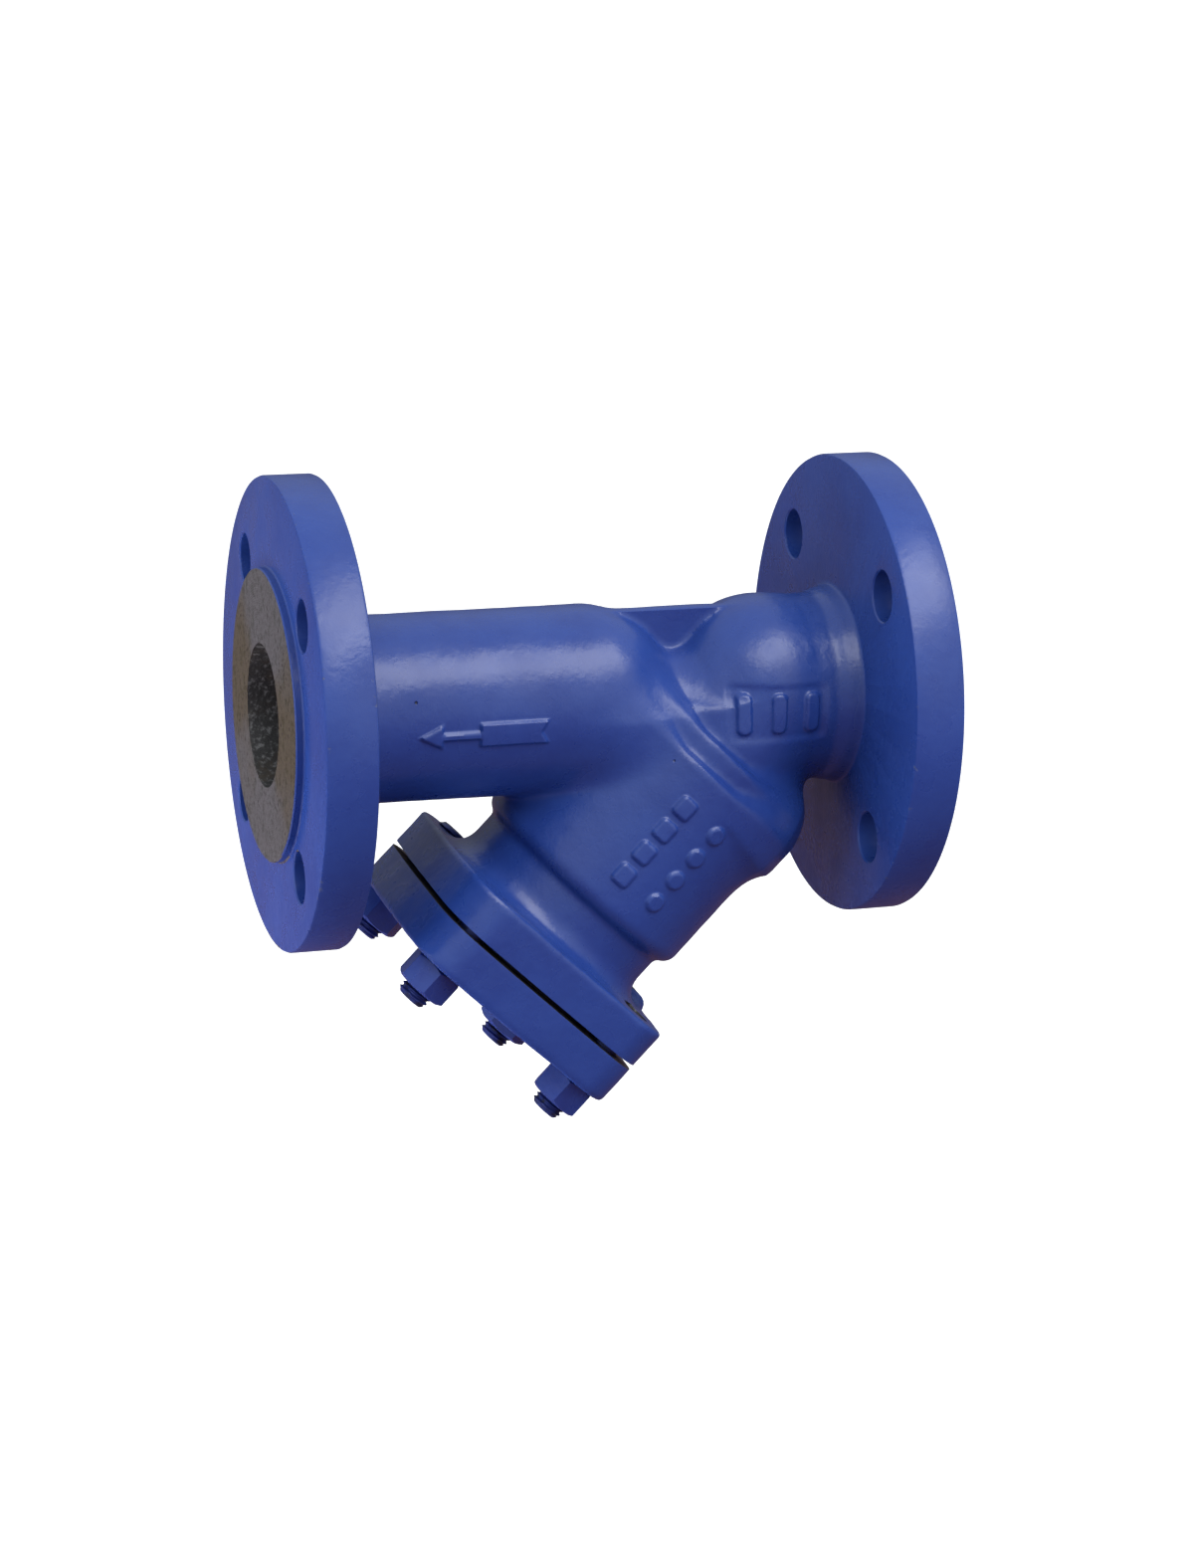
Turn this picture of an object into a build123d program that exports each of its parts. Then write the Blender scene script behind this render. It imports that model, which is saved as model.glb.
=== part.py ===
"""Flanged Y strainer, DN 50, PN 16, in millimetres.

The pipe runs along X. The outlet face is at X = 0 and the inlet face at X = FACE_TO_FACE, so the
fluid flows towards -X. The screen branch points down and towards the outlet in the plane Y = 0.
Places along the branch are given as the distance T from the point where its axis leaves the pipe's.
"""
from build123d import *
import math
import os

# ---- the pipe run ----
FACE_TO_FACE = 230.0
BORE_R = 25.0
TUBE_R = 33.0
FLANGE_R = 82.5
FLANGE_THICK = 21.0
RAISED_FACE_R = 51.0
RAISED_FACE_HEIGHT = 3.0
BOLT_CIRCLE_R = 62.5
BOLT_HOLE_R = 9.0
BOLT_COUNT = 4
COLLAR_R = 36.5
COLLAR_WIDTH = 6.0
OUTLET_DOME_X = 114.0

# ---- the branch that holds the screen ----
BRANCH_X = 181.0
BRANCH_TILT = 43.0
LEG_R = 33.8
ELBOW_R = 35.2
ELBOW_REACH = 45.0
SEAT_BAND_R = 40.2
SEAT_BAND_T = 24.5
SEAT_T = 31.0
SEAT_POCKET_T = 37.0
CHAMBER_R = 43.8
CHAMBER_T = 33.5
CHAMBER_BORE_R = 32.0
NECK_T = 97.0
NECK_R = 39.4
BACK_FILL_R = 28.0
BACK_FILL_X = 162.5
BACK_FILL_DEPTH = 46.0
WEB_THICK = 5.0
WEB_TOP = 31.5
WEB_END_X = 171.0
BRIDGE_WALL = 6.5
SEAT_RING_WALL = 5.2

# ---- the bolted joint of body and cover ----
BONNET_TOP_T = 114.5
BONNET_FACE_T = 129.3
JOINT_GAP = 2.0
COVER_THICK = 15.7
PLATE_HALF = 47.0
PLATE_BULGE = 2.6
PLATE_CORNER_R = 14.0
STUD_OFFSET = 34.2
STUD_R = 6.0
STUD_BACK_T = (112.5, 115.5, 115.5, 117.5)
HOLE_BEYOND_STUD = 1.5
STUD_TIP_T = 162.5
THREAD_PITCH = 1.75
THREAD_DEPTH = 0.9
STUD_CLEARANCE_R = 6.75
NUT_ACROSS_FLATS = 18.0
NUT_HEIGHT = 10.8
GASKET_IN_R = 32.8
GASKET_OUT_R = 38.4
POCKET_DEPTH = 5.0
RELIEF_R = 25.5
RELIEF_DEPTH = 8.0

# ---- the screen ----
SCREEN_R = 28.0
SCREEN_WALL = 1.0
RING_R = 30.5
RING_HEIGHT = 6.0
LINING_THICK = 0.35
HOLE_R = 1.75
HOLES_AROUND = 26
HOLE_ROW_PITCH = 5.9

# ---- gaps and roundings ----
SLIP = 0.3
TIGHT = 0.05
THREAD_PLAY = 0.08
CAST_ROUND = 1.5
MARK_HEIGHT = 1.2
MARKS_START_T = 38.5
MARKS_END_T = 88.0

COVER_T = BONNET_FACE_T + JOINT_GAP
COVER_OUT_T = COVER_T + COVER_THICK
SCREEN_TOP_T = SEAT_T + SLIP
SCREEN_END_T = COVER_T + POCKET_DEPTH - SLIP

tilt = math.radians(BRANCH_TILT)
branch = Plane(
    origin=(BRANCH_X, 0, 0),
    x_dir=(math.cos(tilt), 0, -math.sin(tilt)),
    z_dir=(-math.sin(tilt), 0, -math.cos(tilt)),
)
outlet = Plane(origin=(0, 0, 0), x_dir=(0, 1, 0), z_dir=(1, 0, 0))
inlet = Plane(origin=(FACE_TO_FACE, 0, 0), x_dir=(0, 1, 0), z_dir=(-1, 0, 0))


def rod(radius, start, end):
    """Cylinder along Z from start to end."""
    return Pos(0, 0, start) * Cylinder(radius, end - start, align=(Align.CENTER, Align.CENTER, Align.MIN))


def ring(outer, inner, start, end):
    """Tube along Z from start to end."""
    return rod(outer, start, end) - rod(inner, start - 1, end + 1)


def turned(profile, rounds=()):
    """Solid turned about Z from (radius, height) points. rounds gives (point number, radius) pairs."""
    face = make_face(Polyline(*profile, close=True))
    for number, radius in rounds:
        corner = face.vertices().sort_by_distance(Vector(*profile[number]))[0]
        face = fillet(corner, radius)
    return revolve(Plane.XZ * face, Axis.Z)


# ---------------------------------------------------------------- body casting


def flanged_end(reach):
    """Pipe flange with its raised face, collar and tube, from the face at Z = 0 to Z = reach."""
    collar_end = FLANGE_THICK + COLLAR_WIDTH
    profile = [
        (0, 0),
        (RAISED_FACE_R, 0),
        (RAISED_FACE_R, RAISED_FACE_HEIGHT),
        (FLANGE_R, RAISED_FACE_HEIGHT),
        (FLANGE_R, FLANGE_THICK),
        (COLLAR_R, FLANGE_THICK),
        (COLLAR_R, collar_end),
        (TUBE_R, collar_end),
        (TUBE_R, reach),
        (0, reach),
    ]
    return turned(profile, [(1, 0.4), (3, CAST_ROUND), (4, CAST_ROUND), (5, 2.0), (6, 1.2), (7, 1.8)])


def flange_bolt_holes():
    """Bolt holes of one pipe flange, straddling the centre lines."""
    step = 360.0 / BOLT_COUNT
    hole = Pos(BOLT_CIRCLE_R, 0, 0) * rod(BOLT_HOLE_R, -1, FLANGE_THICK + 1)
    return [Rot(0, 0, step * (number + 0.5)) * hole for number in range(BOLT_COUNT)]


def elbow():
    """Outside of the bend from the inlet run into the branch: where both tubes meet, with the corner rounded."""
    run = outlet * rod(TUBE_R, BRANCH_X - ELBOW_REACH, BRANCH_X + ELBOW_REACH)
    leg = branch * rod(LEG_R, -ELBOW_REACH, ELBOW_REACH)
    bend = run & leg & (Pos(BRANCH_X, 0, 0) * Sphere(ELBOW_R))
    return bend + Pos(BRANCH_X, 0, 0) * Sphere(TUBE_R)


def branch_outside():
    """Outside of the branch: elbow leg, seat band, screen chamber, shoulder and neck."""
    profile = [
        (0, 0),
        (LEG_R, 0),
        (LEG_R, SEAT_BAND_T),
        (SEAT_BAND_R, SEAT_BAND_T),
        (SEAT_BAND_R, CHAMBER_T),
        (CHAMBER_R, CHAMBER_T),
        (CHAMBER_R, NECK_T),
        (NECK_R, NECK_T),
        (NECK_R, BONNET_TOP_T + 1),
        (0, BONNET_TOP_T + 1),
    ]
    rounds = [(2, 1.0), (3, 2.2), (4, 1.0), (5, 2.4), (6, 4.3)]
    return branch * turned(profile, rounds)


def plate_outline():
    """Square outline with bowed sides and round corners, shared by the body flange and the cover."""
    half = PLATE_HALF
    middle = half + PLATE_BULGE
    sides = [
        ThreePointArc((half, -half), (middle, 0), (half, half)),
        ThreePointArc((half, half), (0, middle), (-half, half)),
        ThreePointArc((-half, half), (-middle, 0), (-half, -half)),
        ThreePointArc((-half, -half), (0, -middle), (half, -half)),
    ]
    outline = make_face(sides)
    return fillet(outline.vertices(), PLATE_CORNER_R)


def plate(start, end):
    """Bowed square plate across the branch with rounded rims."""
    block = extrude(Pos(0, 0, start) * plate_outline(), end - start)
    rims = block.faces().filter_by(Axis.Z).edges()
    return fillet(rims, CAST_ROUND)


def stud_places():
    """Places of the four studs: the far pair from the outlet side, then the near pair backwards."""
    corners = [(-1, -1), (1, -1), (1, 1), (-1, 1)]
    return [Pos(x * STUD_OFFSET, y * STUD_OFFSET, 0) for x, y in corners]


def at_studs(shape):
    """Four copies of a shape, one on each stud's axis."""
    return [place * shape for place in stud_places()]


def web():
    """Upright web that bridges the valley between the outlet dome and the inlet elbow."""
    corners = [(OUTLET_DOME_X, 0), (OUTLET_DOME_X, WEB_TOP), (WEB_END_X, WEB_TOP), (WEB_END_X, 0)]
    outline = make_face(Polyline(*corners, close=True))
    return extrude(Plane.XZ * outline, WEB_THICK / 2, both=True)


def flow_arrow():
    """Raised arrow on the near side of the outlet tube, pointing towards the outlet."""
    tip, head_back, tail_front, tail_back = 47.0, 55.5, 69.0, 93.3
    head_half, shaft_half, tail_half, notch = 4.2, 1.4, 4.2, 2.5
    below_axis = 1.2
    upper = [
        (tip, 0),
        (head_back, head_half),
        (head_back, shaft_half),
        (tail_front - 2, shaft_half),
        (tail_front, tail_half),
        (tail_back, tail_half),
        (tail_back - notch, 0),
    ]
    lower = [(x, -height) for x, height in reversed(upper[1:-1])]
    outline = make_face(Polyline(*upper, *lower, close=True))
    slab = extrude(Plane.XZ * (Pos(0, -below_axis) * outline), TUBE_R + 5)
    return slab & (outlet * rod(TUBE_R + MARK_HEIGHT, 30, OUTLET_DOME_X))


def neck_marks():
    """Three plain raised bars on the near side of the inlet neck, each following the skin under it."""
    skins = {
        165.0: branch * rod(LEG_R + MARK_HEIGHT, 0, SEAT_BAND_T),
        177.5: Pos(BRANCH_X, 0, 0) * Sphere(TUBE_R + MARK_HEIGHT),
        190.0: outlet * rod(TUBE_R + MARK_HEIGHT, BRANCH_X, FACE_TO_FACE - FLANGE_THICK),
    }
    bar = RectangleRounded(5.0, 14.0, 2.0)
    return [extrude(Plane.XZ * (Pos(x, 0) * bar), LEG_R + 5) & skin for x, skin in skins.items()]


def chamber_marks():
    """Two rows of plain raised pads on the near side of the screen chamber."""
    skin = rod(CHAMBER_R + MARK_HEIGHT, MARKS_START_T, MARKS_END_T)
    pads = []
    for number in range(4):
        t = 49.0 + 10.5 * number
        square = Pos(-9.5, t) * RectangleRounded(6.5, 7.5, 1.5)
        dot = Pos(6.5, t) * Circle(3.4)
        pads += [square, dot]
    near_side = Plane(origin=(0, 0, 0), x_dir=(1, 0, 0), z_dir=(0, -1, 0))
    return [branch * (extrude(near_side * pad, -CHAMBER_R - 5) & skin) for pad in pads]


def body_outside():
    """Everything the mould gives the casting, before the cores and the machining."""
    solid = outlet * flanged_end(OUTLET_DOME_X) + Pos(OUTLET_DOME_X, 0, 0) * Sphere(TUBE_R)
    solid += inlet * flanged_end(FACE_TO_FACE - BRANCH_X)
    solid += elbow()
    solid += branch_outside()
    solid += Pos(BACK_FILL_X, 0, 0) * rod(BACK_FILL_R, -BACK_FILL_DEPTH, 0)
    solid += web()
    solid += branch * plate(BONNET_TOP_T, BONNET_FACE_T)
    solid += flow_arrow()
    solid += neck_marks()
    solid += chamber_marks()
    return solid


def passages():
    """The cored flow space: inlet elbow, screen seat, chamber and outlet run round the bridge wall."""
    inlet_way = inlet * rod(BORE_R, -1, FACE_TO_FACE - BRANCH_X) + Pos(BRANCH_X, 0, 0) * Sphere(BORE_R)
    inlet_way += branch * rod(BORE_R, 0, SEAT_T + 1)
    seat = branch * rod(RING_R + SLIP, SEAT_T, SEAT_POCKET_T)
    chamber = branch * rod(CHAMBER_BORE_R, SEAT_POCKET_T, BONNET_FACE_T + 1)
    outlet_way = outlet * rod(BORE_R, -1, OUTLET_DOME_X) + Pos(OUTLET_DOME_X, 0, 0) * Sphere(BORE_R)
    bridge = branch * rod(BORE_R + BRIDGE_WALL, -20, SEAT_POCKET_T)
    seat_ring = branch * rod(RING_R + SEAT_RING_WALL, SEAT_BAND_T, SEAT_POCKET_T)
    return inlet_way + seat + chamber + (outlet_way - bridge - seat_ring)


def make_body():
    """The one-piece casting with both pipe flanges and the cover flange, drilled and tapped."""
    body = body_outside() - passages()
    for end in (outlet, inlet):
        body -= [end * hole for hole in flange_bolt_holes()]
    for place, back in zip(stud_places(), STUD_BACK_T):
        body -= branch * place * rod(STUD_R + TIGHT, back - HOLE_BEYOND_STUD, BONNET_FACE_T + 1)
    return body


# ---------------------------------------------------------------- cover, gasket and fasteners


def make_cover():
    """Blind cover with four stud holes, a pocket for the screen's lower ring and a relief inside it."""
    cover = plate(COVER_T, COVER_OUT_T)
    cover -= at_studs(rod(STUD_CLEARANCE_R, COVER_T - 1, COVER_OUT_T + 1))
    cover -= rod(RING_R + SLIP, COVER_T - 1, COVER_T + POCKET_DEPTH)
    cover -= rod(RELIEF_R, COVER_T - 1, COVER_T + RELIEF_DEPTH)
    return branch * cover


def make_gasket():
    """Flat ring gasket between the machined faces, inside the studs."""
    return branch * ring(GASKET_OUT_R, GASKET_IN_R, BONNET_FACE_T + TIGHT, COVER_T - TIGHT)


def thread_profile(start, end):
    """(radius, height) points of V ridges from start up to end."""
    turns = int((end - start) / THREAD_PITCH)
    points = []
    for turn in range(turns):
        base = start + turn * THREAD_PITCH
        points.append((STUD_R - THREAD_DEPTH, base))
        points.append((STUD_R, base + 0.4 * THREAD_PITCH))
        points.append((STUD_R, base + 0.6 * THREAD_PITCH))
    points.append((STUD_R - THREAD_DEPTH, start + turns * THREAD_PITCH))
    return points


def stud(back):
    """Stud threaded at both ends, screwed into the body flange up to its back end, with chamfered tips."""
    root_r = STUD_R - THREAD_DEPTH
    profile = [(0, back), (root_r - 0.6, back)]
    profile += thread_profile(back + 0.6, BONNET_FACE_T)
    profile += [(STUD_R, BONNET_FACE_T + 0.6), (STUD_R, COVER_OUT_T - 4)]
    profile += thread_profile(COVER_OUT_T - 3.4, STUD_TIP_T - 0.6)
    profile += [(root_r - 0.6, STUD_TIP_T), (0, STUD_TIP_T)]
    return turned(profile)


def nut():
    """Hexagon nut with chamfered corners, seated on the cover."""
    base = COVER_OUT_T + TIGHT
    top = base + NUT_HEIGHT
    flat_r = NUT_ACROSS_FLATS / 2
    corner_r = flat_r / math.cos(math.pi / 6)
    hexagon = extrude(Pos(0, 0, base) * RegularPolygon(flat_r, 6, major_radius=False), NUT_HEIGHT)
    chamfer_drop = 0.9
    countersink = 1.7
    envelope = [
        (0, base),
        (flat_r - 0.3, base),
        (corner_r + 0.1, base + chamfer_drop),
        (corner_r + 0.1, top - chamfer_drop),
        (flat_r - 0.3, top),
        (0, top),
    ]
    hole_r = STUD_R + THREAD_PLAY
    bore = [
        (0, base - 1),
        (hole_r + countersink, base - 1),
        (hole_r, base + countersink - 1),
        (hole_r, top - countersink + 1),
        (hole_r + countersink, top + 1),
        (0, top + 1),
    ]
    return (hexagon & turned(envelope)) - turned(bore)


# ---------------------------------------------------------------- screen


def make_screen_tube():
    """Rolled support tube with staggered rows of drilled holes."""
    tube = ring(SCREEN_R, SCREEN_R - SCREEN_WALL, SCREEN_TOP_T, SCREEN_END_T)
    first = SCREEN_TOP_T + RING_HEIGHT + 4
    last = SCREEN_END_T - RING_HEIGHT - 4
    rows = int((last - first) / HOLE_ROW_PITCH) + 1
    step = 360.0 / HOLES_AROUND
    drill = Pos(SCREEN_R - SCREEN_WALL / 2, 0, 0) * Rot(0, 90, 0) * Cylinder(HOLE_R, 4 * SCREEN_WALL)
    drills = []
    for row in range(rows):
        height = first + row * HOLE_ROW_PITCH
        turn = step / 2 * (row % 2)
        drills += [Pos(0, 0, height) * Rot(0, 0, turn + step * n) * drill for n in range(HOLES_AROUND)]
    return branch * (tube - drills)


def make_screen_ring(start):
    """Stiff hoop round one end of the support tube."""
    return branch * ring(RING_R, SCREEN_R + TIGHT, start, start + RING_HEIGHT)


def make_screen_lining():
    """Fine mesh sleeve that lines the support tube."""
    outer = SCREEN_R - SCREEN_WALL - TIGHT
    return branch * ring(outer, outer - LINING_THICK, SCREEN_TOP_T + 1, SCREEN_END_T - 1)


def save(shape, node):
    """Write one node's solids."""
    export_step(shape, f"parts/{node}.step")


def main():
    os.makedirs("parts", exist_ok=True)
    save(make_body(), "body")
    save(make_cover(), "cover")
    save(make_gasket(), "cover_gasket")
    save(make_screen_tube(), "screen_perforated_tube")
    save(make_screen_lining(), "screen_mesh_lining")
    save(make_screen_ring(SCREEN_TOP_T), "screen_seat_ring")
    save(make_screen_ring(SCREEN_END_T - RING_HEIGHT), "screen_cover_ring")
    for number, (place, back) in enumerate(zip(stud_places(), STUD_BACK_T), start=1):
        save(branch * place * stud(back), f"stud_{number}")
    for number, piece in enumerate(at_studs(nut()), start=1):
        save(branch * piece, f"nut_{number}")


main()
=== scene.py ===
"""Looks of the flanged Y strainer: a painted iron casting with bolted cover and a wire-mesh screen.

Lengths in the driving dimensions are millimetres, and turn into metres where a mesh is made. The pipe
runs along X from the outlet face at 0. Places on the screen branch are (across, side, along), where
along is counted from the point where the branch leaves the pipe's axis.
"""

import math
import bmesh
import bpy
import numpy as np
from mathutils import Matrix, Vector, noise


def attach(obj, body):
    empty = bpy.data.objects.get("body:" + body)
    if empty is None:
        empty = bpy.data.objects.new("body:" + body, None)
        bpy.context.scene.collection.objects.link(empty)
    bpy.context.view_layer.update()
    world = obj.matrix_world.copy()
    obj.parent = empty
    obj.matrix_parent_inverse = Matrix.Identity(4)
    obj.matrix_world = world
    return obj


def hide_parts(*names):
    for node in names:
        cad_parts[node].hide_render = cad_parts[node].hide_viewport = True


MM = 0.001

# ---- driving dimensions, as in the CAD ----
FACE_TO_FACE = 230.0
BORE_R = 25.0
TUBE_R = 33.0
FLANGE_R = 82.5
FLANGE_THICK = 21.0
RAISED_FACE_R = 51.0
RAISED_FACE_HEIGHT = 3.0
BOLT_CIRCLE_R = 62.5
BOLT_HOLE_R = 9.0
COLLAR_R = 36.5
COLLAR_WIDTH = 6.0
OUTLET_DOME_X = 114.0
BRANCH_X = 181.0
BRANCH_TILT = math.radians(43.0)
LEG_R = 33.8
ELBOW_ROUND = 8.0
SEAT_BAND_R = 40.2
SEAT_BAND_T = 24.5
SEAT_T = 31.0
SEAT_POCKET_T = 37.0
CHAMBER_R = 43.8
CHAMBER_T = 33.5
CHAMBER_BORE_R = 32.0
NECK_T = 97.0
NECK_R = 39.4
BACK_FILL_R = 28.0
BACK_FILL_X = 162.5
BACK_FILL_DEPTH = 46.0
WEB_THICK = 5.0
WEB_TOP = 31.5
WEB_END_X = 171.0
BRIDGE_WALL = 6.5
SEAT_RING_WALL = 5.2
BONNET_TOP_T = 114.5
BONNET_FACE_T = 129.3
COVER_T = 131.3
COVER_OUT_T = 147.0
PLATE_MIDDLE = 49.6
PLATE_SIDE_CURVE_R = 426.1
PLATE_CORNER_R = 14.0
STUD_OFFSET = 34.2
STUD_R = 6.0
STUD_BACK_T = (112.5, 115.5, 115.5, 117.5)
HOLE_BEYOND_STUD = 1.5
STUD_TIP_T = 162.5
THREAD_PITCH = 1.75
THREAD_DEPTH = 0.9
STUD_CLEARANCE_R = 6.75
NUT_ACROSS_FLATS = 18.0
NUT_HEIGHT = 10.8
RING_R = 30.5
POCKET_DEPTH = 5.0
RELIEF_R = 25.5
RELIEF_DEPTH = 8.0
LINING_R = 26.8
LINING_START_T = 38.0
LINING_END_T = 130.0
MARK_HEIGHT = 1.2
LABEL_DEPTH = 0.6

# ---- how the casting is built, and where it stands ----
CASTING_END = 14.0  # how deep inside the pipe flanges the cast skin ends
CAST_VOXEL = 1.25
FLOOR_Z = -0.36

branch_across = np.array([math.cos(BRANCH_TILT), 0.0, -math.sin(BRANCH_TILT)])
branch_along = np.array([-math.sin(BRANCH_TILT), 0.0, -math.cos(BRANCH_TILT)])
branch_side = np.array([0.0, -1.0, 0.0])
branch_origin = np.array([BRANCH_X, 0.0, 0.0])

# places a shape that is made along +Z: down the branch, or along the pipe from either face
to_branch = Matrix.Translation(Vector(branch_origin)) @ Matrix(
    np.column_stack([branch_across, branch_side, branch_along]).tolist()
).to_4x4()
to_pipe = Matrix.Rotation(math.radians(90), 4, "Y")
from_inlet = Matrix.Translation((FACE_TO_FACE, 0, 0)) @ Matrix.Rotation(math.radians(-90), 4, "Y")


# ---------------------------------------------------------------- mesh helpers


def add_object(name, mesh):
    """New object in the scene for a mesh."""
    made = bpy.data.objects.new(name, mesh)
    bpy.context.scene.collection.objects.link(made)
    return made


def from_bmesh(name, bm, place=Matrix.Identity(4)):
    """Object from a bmesh in millimetres, placed and turned into metres."""
    bm.transform(Matrix.Scale(MM, 4) @ place)
    if place.determinant() < 0:
        bmesh.ops.reverse_faces(bm, faces=bm.faces)
    bmesh.ops.recalc_face_normals(bm, faces=bm.faces)
    mesh = bpy.data.meshes.new(name)
    bm.to_mesh(mesh)
    bm.free()
    return add_object(name, mesh)


def turned(name, profile, place, segments=192):
    """Closed solid turned about Z from (radius, height) points whose ends lie on the axis."""
    bm = bmesh.new()
    rows = []
    for radius, height in profile:
        if radius == 0:
            rows.append([bm.verts.new((0, 0, height))])
            continue
        angles = [2 * math.pi * number / segments for number in range(segments)]
        rows.append([bm.verts.new((radius * math.cos(a), radius * math.sin(a), height)) for a in angles])
    for low, high in zip(rows, rows[1:]):
        for number in range(segments):
            following = (number + 1) % segments
            corners = [low[number % len(low)], low[following % len(low)]]
            corners += [high[following % len(high)], high[number % len(high)]]
            distinct = list(dict.fromkeys(corners))
            if len(distinct) > 2:
                bm.faces.new(distinct)
    return from_bmesh(name, bm, place)


def rod(name, radius, start, end, place, segments=96):
    """Cylinder along Z from start to end."""
    return turned(name, [(0, start), (radius, start), (radius, end), (0, end)], place, segments)


def ball(name, radius, centre, segments=64):
    """Sphere about a point of the pipe frame."""
    bm = bmesh.new()
    bmesh.ops.create_uvsphere(bm, u_segments=segments, v_segments=segments // 2, radius=radius)
    return from_bmesh(name, bm, Matrix.Translation(centre))


def block(name, low, high, place=Matrix.Identity(4)):
    """Box between two corners."""
    bm = bmesh.new()
    bmesh.ops.create_cube(bm, size=1.0)
    size = [b - a for a, b in zip(low, high)]
    middle = [(a + b) / 2 for a, b in zip(low, high)]
    bm.transform(Matrix.Translation(middle) @ Matrix.Diagonal((*size, 1)))
    return from_bmesh(name, bm, place)


def apply_modifiers(obj):
    """Keeps the object's evaluated mesh and drops its modifiers."""
    bpy.context.view_layer.update()
    evaluated = obj.evaluated_get(bpy.context.evaluated_depsgraph_get())
    mesh = bpy.data.meshes.new_from_object(evaluated)
    obj.modifiers.clear()
    old = obj.data
    obj.data = mesh
    bpy.data.meshes.remove(old)


def combine(target, tools, how):
    """Joins (UNION) tools to the target or cuts (DIFFERENCE) them out of it, and drops the tools."""
    for tool in tools:
        modifier = target.modifiers.new("combine", "BOOLEAN")
        modifier.operation = how
        modifier.solver = "MANIFOLD"
        modifier.object = tool
        apply_modifiers(target)
        bpy.data.objects.remove(tool)
    return target


def merged(parts):
    """One object that holds the meshes of several."""
    first, *others = parts
    bm = bmesh.new()
    for part in parts:
        bm.from_mesh(part.data)
    bm.to_mesh(first.data)
    bm.free()
    for other in others:
        bpy.data.objects.remove(other)
    return first


def voxel_skin(obj, size):
    """Replaces overlapping closed shapes by one even skin of quads about size millimetres wide."""
    modifier = obj.modifiers.new("skin", "REMESH")
    modifier.mode = "VOXEL"
    modifier.voxel_size = size * MM
    apply_modifiers(obj)


def points_of(mesh):
    """Vertex positions of a mesh in millimetres."""
    places = np.empty(len(mesh.vertices) * 3, np.float32)
    mesh.vertices.foreach_get("co", places)
    return places.reshape(-1, 3).astype(float) / MM


def of_faces(mesh, what):
    """Each face's "center" or "normal", as a row."""
    values = np.empty(len(mesh.polygons) * 3, np.float32)
    mesh.polygons.foreach_get(what, values)
    return values.reshape(-1, 3)


def set_points(mesh, points):
    """Writes vertex positions given in millimetres."""
    mesh.vertices.foreach_set("co", (points * MM).astype(np.float32).ravel())
    mesh.update()


def shade(obj, sharp_angle=38.0):
    """Smooth shading with creases where faces meet at more than an angle."""
    obj.data.shade_smooth()
    obj.data.set_sharp_from_angle(angle=math.radians(sharp_angle))


# ---------------------------------------------------------------- distances to the casting's skin


def soft_join(a, b, reach):
    """Distance to two shapes joined with a fillet that fades out over reach."""
    near = np.maximum(reach - np.abs(a - b), 0.0) / reach
    return np.minimum(a, b) - near * near * reach / 4


def round_cut(a, b, radius):
    """Distance to what two shapes share, with the outer edge rounded to a radius."""
    corner = np.hypot(np.maximum(a + radius, 0.0), np.maximum(b + radius, 0.0))
    return np.minimum(np.maximum(a, b), -radius) + corner


def branch_places(points):
    """Points as (across, side, along) of the branch."""
    q = points - branch_origin
    return q @ branch_across, q @ branch_side, q @ branch_along


def plate_outline(across, side):
    """Distance to the square outline with bowed sides and round corners."""
    across, side = np.abs(across), np.abs(side)
    centre = PLATE_SIDE_CURVE_R - PLATE_MIDDLE
    right = np.hypot(across + centre, side) - PLATE_SIDE_CURVE_R
    top = np.hypot(side + centre, across) - PLATE_SIDE_CURVE_R
    return round_cut(right, top, PLATE_CORNER_R)


def flange_root(pipe_r, from_face):
    """Collar behind a pipe flange and the tight fillet between the two."""
    flare = COLLAR_R - 1.2 - 0.35 * np.maximum(from_face - FLANGE_THICK, 0.0)
    collar = round_cut(pipe_r - flare, from_face - FLANGE_THICK - COLLAR_WIDTH, 1.0)
    disc = np.maximum(pipe_r - 48.0, from_face - FLANGE_THICK + 0.1)
    return soft_join(collar, disc, 1.0)


def branch_skin(points):
    """Distance to the inlet run, elbow, leg, seat band and screen chamber."""
    across, side, along = branch_places(points)
    r = np.hypot(across, side)
    leg = np.hypot(r, np.minimum(along, 0.0)) - LEG_R
    leg = np.maximum(leg, along - SEAT_BAND_T - 6)
    pipe_r = np.hypot(points[:, 1], points[:, 2])
    inlet_run = np.hypot(pipe_r, np.minimum(points[:, 0] - BRANCH_X, 0.0)) - TUBE_R
    skin = soft_join(inlet_run, leg, 2.0)
    bend = round_cut(pipe_r - TUBE_R, r - LEG_R, ELBOW_ROUND)
    bend = np.maximum(bend, np.maximum(along - SEAT_BAND_T, points[:, 0] - BRANCH_X - 10))
    skin = soft_join(skin, bend, 1.0)
    band = np.maximum(round_cut(r - SEAT_BAND_R, SEAT_BAND_T - along, 2.2), along - CHAMBER_T - 6)
    chamber = round_cut(r - CHAMBER_R, CHAMBER_T - along, 2.4)
    chamber = round_cut(chamber, along - NECK_T, 6.0)
    fade = np.clip(2.8 + 0.6 * (across - 1.0), 2.8, 22.0)
    skin = soft_join(skin, band, fade)
    return soft_join(skin, chamber, fade)


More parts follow.
